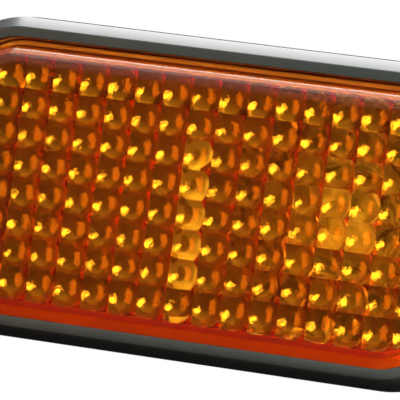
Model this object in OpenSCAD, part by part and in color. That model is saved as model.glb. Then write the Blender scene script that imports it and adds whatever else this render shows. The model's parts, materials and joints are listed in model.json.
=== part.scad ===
// Rectangular side marker lamp, snapped into a slot in a car's body panel.
// Modules draw in a working frame: x to the right, y up and z towards the front,
// with z = 0 at the outside of the panel. front_is_minus_y() turns that to the part's
// frame, where the lamp looks along -Y and +Z is up.

/* [Optics] */
// Side of one square pillow of the lens
cell_pitch = 3.5; // [3:0.1:3.8]
// Pillows in a row
cells_across = 17; // [15:1:20]
// Pillows in a column
cells_up = 8; // [8:1:10]
// Radius of the round face of a pillow
cell_radius = 4.0; // [2.8:0.1:6]

/* [Lens] */
// Thickness of the lens between its front face and the valleys of the pillows
lens_thickness = 2.2; // [1.6:0.1:2.8]
// Width of the bevel round the front face
bevel_width = 1.3; // [0.8:0.1:2]
// Depth of that bevel
bevel_depth = 1.6; // [0.8:0.1:2.4]
// Width of the flat band between the raised part and the frame
band_width = 1.26; // [0.8:0.02:2]
// Height of the front face above the flat band
lens_rise = 3.4; // [2.6:0.1:5]
// Thickness of the flange under the flat band
flange_thickness = 1.7; // [1.2:0.1:2.4]
// Corner radius of the raised part, outside
lens_corner = 7; // [4:0.1:9]

/* [Frame] */
// Width of the flat front face of the frame
face_width = 1.2; // [0.8:0.05:2]
// Width of its sloped outer side, seen from the front
slope_width = 1.3; // [0.6:0.05:2]
// Depth of that slope
slope_depth = 2.1; // [1:0.1:2.6]
// Thickness of the lip over the lens flange
lip_thickness = 1.2; // [0.8:0.1:1.8]
// Thickness of the wall round the flange, at the back of the frame
bezel_wall = 1.5; // [1.2:0.1:1.8]
// Width of the small bevel on the edges of the front face
edge_break = 0.15; // [0.1:0.05:0.25]
// Height of the snap nibs that hold the rim of the housing
nib_height = 0.6; // [0.4:0.1:0.9]
// Length of a snap nib
nib_length = 8; // [4:0.5:12]

/* [Seals] */
// Thickness of the gasket on the body panel
gasket_thickness = 1; // [0.6:0.1:2]
// How far the gasket stands out beyond the frame
gasket_proud = 0.19; // [0.05:0.01:0.5]
// How far the gasket reaches in past the wall of the frame
gasket_lip = 0.25; // [0.1:0.05:0.5]
// Width of the ring that seals the lens
seal_width = 1.6; // [1:0.1:2]
// Distance of its groove from the edge of the rim
seal_inset = 0.58; // [0.4:0.02:0.9]
// Depth of its groove in the rim of the housing
seal_groove = 0.5; // [0.3:0.1:0.7]
// How far that ring stands out of its groove
seal_proud = 0.3; // [0.2:0.05:0.6]

/* [Housing] */
// Thickness of the rim that the lens sits on
rim_thickness = 1.2; // [1:0.1:2]
// How far the ribs stand out that carry the rim
rib_ledge = 1; // [0.6:0.1:1.6]
// Wall of the tub and of the bucket
tub_wall = 1.5; // [1.2:0.1:1.8]
// Gap between the field of pillows and the wall of the tub
tub_inset = 0.45; // [0.2:0.05:0.8]
// Depth of the floor of the tub behind the panel's outside
floor_depth = 4; // [3:0.1:5]
// Depth of the inside of the bucket
bucket_depth = 14.6; // [13.6:0.1:18]
// Thickness of the bucket's end, which carries the bulb holder
end_thickness = 2; // [1.6:0.1:3]
// Inside radius at the end of the bucket
bucket_end_radius = 10.7; // [10:0.1:12]
// Thickness of the stiffening ribs
rib_thickness = 1.2; // [0.8:0.1:1.6]
// Thickness of the body panel that the lamp snaps into
panel_thickness = 1; // [0.7:0.1:1.5]
// Width of the tongue that goes behind the panel
tongue_width = 10; // [6:0.5:14]
// Thickness of the tongue at its tip
tongue_thickness = 0.8; // [0.6:0.1:1.2]

/* [Reflector] */
// Thickness of the silvered insert
insert_thickness = 0.9; // [0.6:0.1:1.2]
// Radius of its hole for the bulb
bulb_hole_radius = 6.3; // [5.8:0.1:6.8]
// Gap between the rim of its bowl and the wall of the bucket
bowl_gap = 0.65; // [0.4:0.05:1]
// Place of the stiffening ridge on its flat part, from the middle
ridge_x = -4; // [-8:0.5:-3]
// Height of the middle of that ridge
ridge_y = -2.5; // [-4:0.5:4]
// Length of the ridge
ridge_length = 16; // [8:0.5:18]
// Width of the ridge
ridge_width = 3.4; // [2:0.1:4.4]
// How far the ridge stands out
ridge_height = 1; // [0.5:0.1:1.5]
// Radius of the two pegs that hold it
peg_radius = 1; // [0.8:0.1:1.4]
// Distance of the pegs from the end of the field of pillows
peg_inset = 5; // [4:0.1:7]
// Height of the pegs above and below the middle
peg_height = 8; // [6:0.1:10]

/* [Bulb] */
// Radius of the glass
glass_radius = 5; // [4.6:0.1:5.2]
// Wall of the glass
glass_wall = 0.6; // [0.4:0.1:0.8]
// Length of the glass in front of its wedge
glass_length = 18; // [17:0.1:19]
// Depth of the filament
filament_depth = 6.6; // [5.8:0.1:8]
// Height of the tip of the glass over the filament
tip_height = 7.3; // [6.5:0.1:7.5]
// Width of the wedge at the bottom of the glass
wedge_width = 9.2; // [8.8:0.1:9.6]
// Thickness of that wedge
wedge_thickness = 2.6; // [2.2:0.1:3]
// Height of that wedge
wedge_height = 7.8; // [7:0.1:8.2]
// Half the distance between the two lead wires
lead_spread = 2.8; // [2.5:0.1:3.2]
// Radius of a lead wire
lead_radius = 0.25; // [0.2:0.01:0.3]
// Length of a lead that is folded back along the wedge
lead_fold = 5.5; // [4:0.1:6.5]
// Radius of the wire that holds up the filament
anchor_radius = 0.15; // [0.1:0.01:0.2]
// Radius of the coil of the filament
filament_radius = 0.4; // [0.3:0.01:0.5]
// Radius of its wire
wire_radius = 0.07; // [0.05:0.01:0.1]
// Turns of the coil
filament_turns = 8; // [5:1:10]

/* [Bulb holder] */
// Radius of the neck that goes into the bucket's end
neck_radius = 7.2; // [6.8:0.1:7.6]
// Number of locking lugs
lug_count = 3; // [2:1:4]
// Radius over the locking lugs
lug_radius = 9; // [8.6:0.1:9.6]
// Width of a lug
lug_width = 4; // [3:0.1:5]
// Thickness of a lug
lug_thickness = 1.6; // [1.2:0.1:2]
// Turn from locked to released, in degrees
lock_turn = 40; // [34:1:50]
// Radius of the flange behind the seal
holder_flange_radius = 10.4; // [9.8:0.1:12]
// Thickness of that flange
holder_flange_thickness = 2; // [1.4:0.1:3]
// Thickness of the ring that seals the holder
holder_seal_thickness = 1; // [0.6:0.1:1.6]
// Width of the connector shroud, outside
shroud_width = 15; // [14:0.1:17]
// Height of the connector shroud, outside
shroud_height = 9.4; // [8.8:0.1:11]
// Wall of the shroud
shroud_wall = 1.3; // [1:0.1:1.5]
// Depth of the connector inside the shroud
shroud_depth = 7; // [6:0.1:10]
// Width of a connector blade
blade_width = 2.8; // [2.4:0.1:3]
// Thickness of the contact strip
strip_thickness = 0.5; // [0.4:0.05:0.6]
// Half the distance between the two blades
strip_x = 3.6; // [3.4:0.1:4]
// Thickness between the bulb's socket and the step of the strips
socket_floor = 2.6; // [2:0.1:3.4]
// Thickness of the floor of the shroud
shroud_floor = 1.2; // [1:0.1:1.6]
// How far the blades end inside the shroud
blade_recess = 1.2; // [0.8:0.1:2]
// Thickness of a grip wing
wing_thickness = 2.4; // [1.8:0.1:3]
// Width of the latch ramp of the connector
latch_width = 4; // [3:0.1:5]

/* [Clip] */
// Width of the steel leaf
clip_width = 8; // [6:0.1:10]
// Thickness of the steel leaf
clip_thickness = 0.5; // [0.4:0.05:0.7]
// Height of the boss that it is screwed to
boss_height = 4; // [3.4:0.1:5]
// Radius of that boss
boss_radius = 3; // [2.8:0.1:3.4]
// Distance of its screw from the end of the tub
boss_inset = 5.5; // [5:0.1:7]
// Radius of the screw
screw_radius = 1.3; // [1.1:0.05:1.5]
// Radius of its head
head_radius = 2.6; // [2.2:0.1:2.8]
// Room for the lamp in the panel slot, at the clip's end
slot_play = 1.1; // [0.8:0.1:1.3]

/* [Vent] */
// Radius of the breather spigot, outside
spigot_radius = 2.5; // [2.2:0.1:3]
// Wall of the spigot
spigot_wall = 0.7; // [0.6:0.1:1]
// Distance of the spigot below the middle
vent_drop = 7; // [5:0.1:8]
// Height of the spigot
spigot_height = 4.5; // [4:0.1:6]
// Wall of the rubber cap
cap_wall = 1.1; // [0.8:0.1:1.6]

/* [Hidden] */
$fn = 64;

// Clearances and a small overlap that makes joined solids one
fit = 0.2;
turn_fit = 0.3;
slip = 0.05;
e = 0.01;

// Outlines are named by how far they lie outside the field of pillows
field_x = cell_pitch * cells_across / 2;
field_y = cell_pitch * cells_up / 2;
field_corner = lens_corner - bevel_width;
g_block = bevel_width;
g_opening = g_block + band_width;
g_face = g_opening + face_width;
g_base = g_face + slope_width;
g_gasket = g_base + gasket_proud;
g_cavity = g_base - bezel_wall;
g_rim = g_cavity - fit;
g_tub_in = -tub_inset;
g_tub = g_tub_in + tub_wall;
g_gasket_in = g_cavity - gasket_lip;
g_catch = g_gasket_in - fit;
g_rib = g_tub + rib_ledge;
g_seal_out = g_rim - seal_inset;
g_seal_in = g_seal_out - seal_width;

// Levels towards the front, from the panel
z_rim_back = gasket_thickness + nib_height;
z_rim_front = z_rim_back + rim_thickness;
z_flange_back = z_rim_front + seal_proud;
z_band = z_flange_back + flange_thickness;
z_face = z_band + lip_thickness;
z_front = z_band + lens_rise;
z_valley = z_front - lens_thickness;
z_slope = z_face - slope_depth;
z_break = z_face - edge_break * slope_depth / slope_width;

// Pillow: its sphere passes through the four corners of the cell
cell_reach = cell_pitch / sqrt(2);
cell_centre = z_valley + sqrt(pow(cell_radius, 2) - pow(cell_reach, 2));
z_pillow = cell_centre - cell_radius;

// Bucket and bulb
bucket_shoulder = 2.5;
bucket_collar = 2.4;
glass_shoulder = 4;
lead_fit = 0.02;
lead_hook = 0.3;
anchor_root = 0.5;
anchor_gap = 0.12;
bucket_radius = field_y + g_tub_in - slip;
bucket_x = field_x + g_tub_in - slip - bucket_radius;
z_floor = -floor_depth;
z_back = z_floor - tub_wall;
z_bucket = -bucket_depth;
z_end = z_bucket - end_thickness;
z_filament = -filament_depth;
z_tip = z_filament + tip_height;

// Parabola of the bowl, with the filament at its focus
bowl_rim = bucket_radius - bowl_gap;
z_pan = z_floor + insert_thickness;
bowl_f = (z_filament - z_pan + sqrt(pow(z_pan - z_filament, 2) + pow(bowl_rim, 2))) / 2;
function bowl_z(r) = z_filament - bowl_f + r * r / (4 * bowl_f);
bowl_steps = 14;
bowl_lean = 0.4;
bowl_wall_share = 0.7;
neck_rise = 0.6;

// Bulb holder
hole_radius = neck_radius + turn_fit;
z_lug_back = z_bucket + fit / 2;
z_lug = z_lug_back + lug_thickness;
z_neck = z_lug + fit;
z_holder_flange = z_end - holder_seal_thickness;
z_grip = z_holder_flange - holder_flange_thickness;
z_wedge = z_tip - glass_length;
z_wedge_end = z_wedge - wedge_height;
z_socket = z_wedge_end - 2 * lead_radius - 2 * fit;
z_jog = z_socket - socket_floor;
z_shroud = z_jog - shroud_floor;
z_mouth = z_shroud - shroud_depth;
z_blade = z_mouth + blade_recess;
latch_rise = 1.1;
latch_start = 1.2;
latch_crest = 3.2;
latch_flat = 0.7;
cup_radius = glass_radius + 3 * fit;
socket_y = wedge_thickness / 2 + 2 * lead_radius + strip_thickness + 2 * fit;

// Contact strips: height at which they press on the leads, their top and their knee
strip_touch = 3.5;
strip_top = 0.5;
strip_knee = 0.6;
slot_room = 1.2;
strip_fit = 0.1;
flange_edge = 0.4;
nib_lean = 0.8;

// Clip: the leaf runs along the back, then forward past the edge of the panel slot
clip_seat = z_back - boss_height;
tub_end = field_x + g_tub;
slot_end = tub_end + slot_play;
boss_x = -tub_end + boss_inset;
leaf_end = boss_x + boss_radius + 2 * fit;
kink_rise = 1.5;
leaf_tip = -0.5;

// Screw: head, its domed top, its cross recess and the pilot hole
head_height = 1.1;
head_dome = 0.6;
recess_width = 0.6;
recess_depth = 0.7;
pilot_fit = 0.2;
pilot_floor = 0.6;

// Spigot beside the end of the leaf, and gussets from there to the bucket
cap_radius = spigot_radius + cap_wall;
vent_x = leaf_end + cap_radius - fit;
vent_y = -vent_drop;
z_spigot = z_back - spigot_height;
breather_radius = 0.8;
filter_step = 1;

// Rubber cap: thickness of its crown, length of its skirt, width of its inside slots
cap_crown = 1.4;
cap_skirt = 3.2;
cap_dome = 0.6;
cap_slot = 0.9;
gusset_x = vent_x + cap_radius + 4 * fit;
gusset_y = 8;
gusset_drop = 5;
gusset_nose = 3;
peg_x = -field_x + peg_inset;

// Filament coil: steps along it, sides of its wire and its length between the leads
coil_steps = filament_turns * 10;
wire_sides = 6;
filament_length = 2 * (lead_spread - lead_radius) - fit / 2;

module front_is_minus_y() {
    rotate([90, 0, 0]) children();
}

// Flat outline that lies g outside the field of pillows
module outline(g) {
    x = field_x + g;
    y = field_y + g;
    r = field_corner + g;
    square([2 * (x - r), 2 * y], center = true);
    square([2 * x, 2 * (y - r)], center = true);
    for (sx = [-1, 1], sy = [-1, 1])
        translate([sx * (x - r), sy * (y - r)]) circle(r);
}

module slab(g, z0, z1) {
    translate([0, 0, z0]) linear_extrude(z1 - z0) outline(g);
}

module ring(g_out, g_in, z0, z1) {
    translate([0, 0, z0]) linear_extrude(z1 - z0) difference() {
        outline(g_out);
        outline(g_in);
    }
}

// Block whose sides lean in from g0 at z0 to g1 at z1
module taper(g0, g1, z0, z1) {
    x = field_x + g0;
    y = field_y + g0;
    r = field_corner + g0;
    h = z1 - z0;
    lean = g0 - g1;
    translate([0, 0, z0]) {
        for (sx = [-1, 1], sy = [-1, 1])
            translate([sx * (x - r), sy * (y - r), 0]) cylinder(h, r, r - lean);
        rotate([90, 0, 90]) linear_extrude(2 * (x - r), center = true)
            polygon([[-y, 0], [y, 0], [y - lean, h], [lean - y, h]]);
        rotate([90, 0, 0]) linear_extrude(2 * (y - r), center = true)
            polygon([[-x, 0], [x, 0], [x - lean, h], [lean - x, h]]);
    }
}

module block(size, at) {
    translate(at) translate([-size.x / 2, -size.y / 2, 0]) cube(size);
}

module disc(r, z0, z1) {
    translate([0, 0, z0]) cylinder(z1 - z0, r, r);
}

module at_bulb() {
    translate([bucket_x, 0, 0]) children();
}

module around(count) {
    for (i = [0 : count - 1]) rotate([0, 0, 360 / count * i]) children();
}

// Amber lens: flange, raised part with a bevelled edge, and pillows on the inside
module pillows() {
    intersection() {
        slab(0, z_pillow - 1, z_valley);
        for (i = [0 : cells_across - 1], j = [0 : cells_up - 1])
            translate([(i + 0.5) * cell_pitch - field_x, (j + 0.5) * cell_pitch - field_y,
                       cell_centre])
                sphere(cell_radius);
    }
}

module lens() {
    color([0.93, 0.45, 0.05, 0.75]) front_is_minus_y() {
        difference() {
            union() {
                slab(g_rim, z_flange_back, z_band);
                slab(g_block, z_flange_back + e, z_front - bevel_depth);
                taper(g_block, g_block - bevel_width, z_front - bevel_depth, z_front);
            }
            slab(0, z_flange_back - 1, z_valley);
        }
        pillows();
    }
}

// Black frame: straight edge, sloped side, flat face and a lip over the lens flange
module nib() {
    rotate([90, 0, 0]) linear_extrude(nib_length, center = true)
        polygon([[-nib_height, 0], [fit, 0], [nib_height, nib_height * nib_lean],
                 [nib_height, nib_height], [-nib_height, nib_height]]);
}

module bezel() {
    color([0.06, 0.07, 0.08]) front_is_minus_y() {
        difference() {
            union() {
                slab(g_base, gasket_thickness, z_slope);
                taper(g_base, g_face + edge_break, z_slope, z_break);
                taper(g_face + edge_break, g_face - edge_break / 2, z_break, z_face);
                slab(g_face - edge_break, gasket_thickness, z_face - e);
            }
            slab(g_cavity, gasket_thickness - 1, z_band);
            slab(g_opening, z_band - 1, z_face + 1);
            taper(g_opening, g_opening + edge_break + e, z_face - edge_break, z_face + e);
        }
        translate([0, 0, gasket_thickness]) {
            for (s = [0, 180]) rotate([0, 0, s]) translate([-field_x - g_cavity, 0, 0]) nib();
            for (s = [-1, 1], k = [-1, 1])
                translate([k * field_x * 0.5, -s * (field_y + g_cavity), 0])
                    rotate([0, 0, 90 * s]) nib();
        }
    }
}

module panel_gasket() {
    color([0.1, 0.1, 0.1]) front_is_minus_y()
        ring(g_gasket, g_gasket_in, 0, gasket_thickness);
}

module lens_seal() {
    color([0.7, 0.4, 0.24]) front_is_minus_y()
        ring(g_seal_out, g_seal_in, z_rim_front - seal_groove, z_flange_back);
}

// Black housing: rim, shallow tub, deep bucket, tongue, clip boss, spigot and ribs
module bucket_shape(r, end_r, z1, z0) {
    rotate_extrude() polygon([[0, z1], [r, z1], [r, z_floor - bucket_shoulder],
                              [end_r, z_bucket + bucket_collar], [end_r, z0], [0, z0]]);
}

module bayonet_hole() {
    disc(hole_radius, z_end - 1, z_bucket + 1);
    around(lug_count)
        translate([0, 0, z_end - 1]) intersection() {
            translate([0, -(lug_width / 2 + turn_fit), 0])
                cube([lug_radius + 1, lug_width + 2 * turn_fit, end_thickness + 2]);
            cylinder(end_thickness + 2, lug_radius + turn_fit, lug_radius + turn_fit);
        }
}

module gusset(y) {
    x_end = bucket_x - bucket_end_radius;
    translate([0, y + rib_thickness / 2, 0]) rotate([90, 0, 0]) linear_extrude(rib_thickness)
        polygon([[gusset_x, z_back + e], [x_end, z_back + e], [x_end, z_back - gusset_drop],
                 [x_end - gusset_nose, z_back - gusset_drop]]);
}

module housing_solid() {
    guide = tub_wall * 2 / 3;
    boss_end = boss_x + boss_radius - guide;
    slab(g_rim, z_rim_back, z_rim_front);
    slab(g_rib, gasket_thickness, z_rim_back + e);
    slab(g_tub, z_back, z_rim_back + e);
    at_bulb() bucket_shape(bucket_radius + tub_wall, bucket_end_radius + tub_wall,
                           z_floor, z_end);
    translate([boss_x, 0, 0]) disc(boss_radius, clip_seat, z_back + e);
    block([tub_wall, clip_width + 2, boss_height + e],
          [-tub_end + tub_wall / 2, 0, clip_seat]);
    for (s = [-1, 1])
        block([boss_end + tub_end, guide, boss_height + clip_thickness + e],
              [(boss_end - tub_end) / 2, s * (clip_width / 2 + fit + guide / 2),
               clip_seat - clip_thickness]);
    translate([vent_x, vent_y, 0]) disc(spigot_radius, z_spigot, z_back + e);
    for (s = [-1, 1]) gusset(s * gusset_y);
    tongue();
}

// Tongue that goes behind the panel's edge and stays inside the ring of the gasket
module tongue() {
    reach = g_catch - g_tub;
    z = -panel_thickness - fit;
    translate([tub_end - e, tongue_width / 2, 0]) rotate([90, 0, 0])
        linear_extrude(tongue_width)
            polygon([[0, z], [reach - 2 * fit, z], [reach, z - 2 * fit],
                     [reach, z - 2 * fit - tongue_thickness], [0, z_back]]);
}

module housing() {
    color([0.09, 0.09, 0.1]) front_is_minus_y() {
        housing_shell();
        for (s = [-1, 1]) translate([peg_x, s * peg_height, 0])
            disc(peg_radius, z_floor - e, z_pan + peg_radius / 2);
    }
}

module housing_shell() {
    difference() {
        housing_solid();
        slab(g_tub_in, z_floor, z_rim_front + 1);
        ring(g_seal_out + slip, g_seal_in - slip, z_rim_front - seal_groove, z_rim_front + 1);
        at_bulb() {
            bucket_shape(bucket_radius, bucket_end_radius, z_floor + e, z_bucket);
            rotate([0, 0, 90]) bayonet_hole();
        }
        translate([boss_x, 0, 0])
            disc(screw_radius - pilot_fit, clip_seat - 1, z_floor - pilot_floor);
        translate([vent_x, vent_y, 0]) {
            disc(spigot_radius - spigot_wall, z_spigot - 1, z_back - filter_step);
            disc(breather_radius, z_back - filter_step - 1, z_floor + 1);
        }
    }
}

// Silvered insert: flat pan over the floor and a parabolic bowl round the bulb
module bowl_shape(grow, top) {
    rotate_extrude() polygon(concat(
        [[0, top]], top > z_pan ? [[bowl_rim + grow, top]] : [],
        [for (i = [bowl_steps : -1 : 0])
            let (r = bulb_hole_radius + (bowl_rim - bulb_hole_radius) * i / bowl_steps)
            [r + grow, bowl_z(r) - (i == bowl_steps ? 0 : grow * bowl_lean)]],
        [[bulb_hole_radius + grow, z_neck + neck_rise], [0, z_neck + neck_rise]]));
}

module ridge() {
    w = ridge_width / 2;
    translate([ridge_x, ridge_y, z_pan]) rotate([90, 0, 0])
        linear_extrude(ridge_length, center = true)
            polygon([[-w, -e], [w, -e], [w, 0], [0, ridge_height], [-w, 0]]);
}

module reflector() {
    color([0.82, 0.83, 0.84]) front_is_minus_y() difference() {
        union() {
            slab(g_tub_in - fit, z_floor, z_pan);
            at_bulb() bowl_shape(insert_thickness * bowl_wall_share, z_pan);
            ridge();
        }
        at_bulb() bowl_shape(0, z_pan + 1);
        at_bulb() disc(bulb_hole_radius, z_bucket, z_pan);
        for (s = [-1, 1]) translate([peg_x, s * peg_height, 0])
            disc(peg_radius + slip, z_floor - 1, z_pan + 1);
        translate([vent_x, vent_y, 0]) disc(breather_radius, z_floor - 1, z_pan + 1);
    }
}

// Capless bulb: hollow glass with a flat wedge, two folded wires, filament and its anchor
module glass_form(inset) {
    r = glass_radius - inset;
    z_dome = z_tip - glass_radius;
    z_waist = z_wedge + glass_shoulder;
    translate([0, 0, z_dome]) sphere(r);
    disc(r, z_waist, z_dome);
    translate([0, 0, z_wedge + inset]) cylinder(z_waist - z_wedge - inset + e, r * 0.5, r);
}

module bulb_glass() {
    color([0.9, 0.93, 0.95, 0.4]) front_is_minus_y() at_bulb() difference() {
        union() {
            glass_form(0);
            block([wedge_width, wedge_thickness, wedge_height + 2], [0, 0, z_wedge_end]);
        }
        glass_form(glass_wall);
        for (s = [-1, 1]) translate([s * lead_spread, 0, 0])
            disc(lead_radius + lead_fit, z_wedge_end - 1, z_wedge + glass_shoulder);
        disc(anchor_radius + lead_fit, z_wedge - 1, z_wedge + glass_shoulder);
    }
}

// One lead: up through the wedge to the filament, and folded up outside the wedge
module lead(side) {
    y_out = wedge_thickness / 2 + lead_radius + lead_fit;
    z_turn = z_wedge_end - lead_radius - slip;
    translate([side * lead_spread, 0, 0]) {
        disc(lead_radius, z_turn, z_filament + lead_hook);
        translate([0, 0, z_turn]) sphere(lead_radius);
        translate([0, 0, z_turn]) rotate([side * 90, 0, 0])
            cylinder(y_out, lead_radius, lead_radius);
        translate([0, -side * y_out, z_turn]) sphere(lead_radius);
        translate([0, -side * y_out, 0]) disc(lead_radius, z_turn, z_wedge_end + lead_fold);
    }
}

module bulb_lead_left() {
    color([0.6, 0.6, 0.62]) front_is_minus_y() at_bulb() lead(-1);
}

module bulb_lead_right() {
    color([0.6, 0.6, 0.62]) front_is_minus_y() at_bulb() lead(1);
}

module bulb_anchor() {
    color([0.6, 0.6, 0.62]) front_is_minus_y() at_bulb()
        disc(anchor_radius, z_wedge - anchor_root, z_filament - filament_radius - anchor_gap);
}

// Filament coil: rings of points round a helix, joined to a closed tube
function coil_point(i, k) =
    let (a = 360 * filament_turns * i / coil_steps, b = 360 * k / wire_sides,
         r = filament_radius - wire_radius + wire_radius * cos(b))
    [filament_length * (i / coil_steps - 0.5) + wire_radius * sin(b), r * sin(a),
     z_filament + r * cos(a)];

module bulb_filament() {
    points = [for (i = [0 : coil_steps], k = [0 : wire_sides - 1]) coil_point(i, k)];
    sides = [for (i = [0 : coil_steps - 1], k = [0 : wire_sides - 1])
        let (a = i * wire_sides + k, b = i * wire_sides + (k + 1) % wire_sides)
        [a, b, b + wire_sides, a + wire_sides]];
    ends = [[for (k = [wire_sides - 1 : -1 : 0]) k],
            [for (k = [0 : wire_sides - 1]) coil_steps * wire_sides + k]];
    color([0.35, 0.35, 0.37]) front_is_minus_y() at_bulb()
        polyhedron(points, concat(sides, ends));
}

// Twist-lock bulb holder: neck with lugs, sealing flange, grip wings and connector shroud
module strip_slots() {
    for (s = [-1, 1]) translate([s * strip_x, 0, 0]) {
        y_far = -s * (socket_y - strip_thickness / 2);
        block([blade_width + fit, abs(y_far) + slot_room, z_socket - z_jog + e],
              [0, y_far / 2, z_jog]);
        block([blade_width + fit, strip_thickness + strip_fit, z_jog - z_shroud + 2],
              [0, 0, z_shroud - 1]);
    }
}

module lugs() {
    around(lug_count) rotate([0, 0, lock_turn]) translate([0, 0, z_lug_back]) intersection() {
        translate([0, -lug_width / 2, 0]) cube([lug_radius, lug_width, lug_thickness]);
        cylinder(lug_thickness, lug_radius, lug_radius);
    }
}

module latch_ramp() {
    translate([latch_width / 2, shroud_height / 2 - e, 0]) rotate([90, 0, -90])
        linear_extrude(latch_width)
        polygon([[0, z_mouth + latch_start], [-latch_rise, z_mouth + latch_crest],
                 [-latch_rise, z_mouth + latch_crest + latch_flat],
                 [0, z_mouth + latch_crest + latch_flat + latch_rise / 2]]);
}

module holder_solid() {
    disc(neck_radius, z_shroud, z_neck);
    rotate([0, 0, 90]) lugs();
    disc(holder_flange_radius, z_grip, z_holder_flange);
    for (s = [-1, 1])
        block([wing_thickness, holder_flange_radius - neck_radius + wing_thickness,
               z_grip - z_jog + e],
              [0, s * (holder_flange_radius + neck_radius - wing_thickness) / 2, z_jog]);
    block([shroud_width, shroud_height, z_shroud - z_mouth + 2], [0, 0, z_mouth]);
    latch_ramp();
}

module bulb_holder() {
    color([0.82, 0.8, 0.74]) front_is_minus_y() at_bulb() difference() {
        holder_solid();
        disc(cup_radius, z_wedge - fit, z_neck + 1);
        block([2 * strip_x + blade_width + fit, 2 * socket_y, z_wedge + 1 - z_socket + e],
              [0, 0, z_socket]);
        strip_slots();
        block([shroud_width - 2 * shroud_wall, shroud_height - 2 * shroud_wall,
               z_shroud - z_mouth + 1], [0, 0, z_mouth - 1]);
    }
}

module holder_seal() {
    color([0.3, 0.3, 0.31]) front_is_minus_y() at_bulb() difference() {
        disc(holder_flange_radius - flange_edge, z_holder_flange, z_end);
        disc(neck_radius + slip, z_holder_flange - 1, z_end + 1);
    }
}

// Brass strip: sprung against the lead on the wedge, then stepped in to the blade
module contact(side) {
    y = socket_y - strip_thickness - slip;
    t = strip_thickness;
    touch = wedge_thickness / 2 + 2 * lead_radius + slip;
    z_top = z_wedge - strip_top;
    z_mid = z_wedge_end + strip_touch;
    z_knee = z_socket + strip_knee;
    z_in = z_socket - slip;
    z_out = z_jog + fit;
    outer = [[y, z_top], [touch, z_mid], [y, z_knee], [y, z_in], [-t / 2, z_out],
             [-t / 2, z_blade]];
    inner = [[t / 2, z_blade], [t / 2, z_out + t * 0.4], [y + t, z_in + t * 0.4],
             [y + t, z_knee], [touch + t, z_mid], [y + t, z_top]];
    translate([side * strip_x, 0, 0]) mirror([0, side > 0 ? 1 : 0, 0])
        rotate([90, 0, 90]) linear_extrude(blade_width, center = true)
            polygon(concat(outer, inner));
}

module contact_feed() {
    color([0.8, 0.65, 0.3]) front_is_minus_y() at_bulb() contact(-1);
}

module contact_earth() {
    color([0.8, 0.65, 0.3]) front_is_minus_y() at_bulb() contact(1);
}

// Steel leaf: flat on its boss, then bent forward to a kink behind the panel's edge
module spring_clip() {
    t = clip_thickness;
    x_far = -field_x - g_catch;
    x_tip = -slot_end + 2 * fit;
    color([0.7, 0.71, 0.73]) front_is_minus_y() difference() {
        translate([0, clip_width / 2, 0]) rotate([90, 0, 0]) linear_extrude(clip_width)
            polygon([[leaf_end, clip_seat], [-tub_end, clip_seat],
                     [x_far + t, z_back + kink_rise], [x_tip + t, leaf_tip],
                     [x_tip, leaf_tip], [x_far, z_back + kink_rise],
                     [-tub_end - t, clip_seat - t], [leaf_end, clip_seat - t]]);
        translate([boss_x, 0, 0])
            disc(screw_radius + fit, clip_seat - clip_thickness - 1, clip_seat + 1);
    }
}

module clip_screw() {
    z = clip_seat - clip_thickness;
    z_top = z - head_height - head_dome;
    color([0.65, 0.66, 0.68]) front_is_minus_y() translate([boss_x, 0, 0]) difference() {
        union() {
            disc(screw_radius - pilot_fit - lead_fit, z - e, z_floor - 1);
            disc(head_radius, z - head_height, z);
            translate([0, 0, z_top])
                cylinder(head_dome + e, head_radius - head_dome, head_radius);
        }
        for (a = [0, 90]) rotate([0, 0, a])
            block([head_radius, recess_width, recess_depth + 1], [0, 0, z_top - 1]);
    }
}

module vent_cap() {
    z = z_spigot;
    color([0.2, 0.2, 0.21]) front_is_minus_y() translate([vent_x, vent_y, 0]) difference() {
        union() {
            disc(cap_radius, z - cap_crown, z + cap_skirt);
            translate([0, 0, z - cap_crown - cap_dome])
                cylinder(cap_dome + e, cap_radius - cap_dome, cap_radius);
        }
        disc(spigot_radius + lead_fit, z - turn_fit, z + cap_skirt + 1);
        for (a = [0, 90]) rotate([0, 0, a])
            block([2 * spigot_radius + cap_wall, cap_slot, cap_skirt + 1],
                  [0, 0, z - turn_fit]);
    }
}

module vent_filter() {
    color([0.45, 0.45, 0.42]) front_is_minus_y() translate([vent_x, vent_y, 0])
        disc(spigot_radius - spigot_wall - slip, z_spigot + fit, z_back - filter_step - fit);
}

lens();
bezel();
panel_gasket();
lens_seal();
housing();
reflector();
bulb_glass();
bulb_filament();
bulb_lead_left();
bulb_lead_right();
bulb_anchor();
bulb_holder();
holder_seal();
contact_feed();
contact_earth();
spring_clip();
clip_screw();
vent_cap();
vent_filter();
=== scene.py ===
# %% [markdown]
# A side marker lamp is a small box of light: an amber lens with rows of pillow optics, a
# black frame that clamps it, a silvered bowl round a capless bulb, and a holder that locks
# into the back with a twist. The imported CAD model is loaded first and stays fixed. Each
# piece below takes its size and place from it, in metres, so nothing has to be fitted.

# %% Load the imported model
import math

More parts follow.
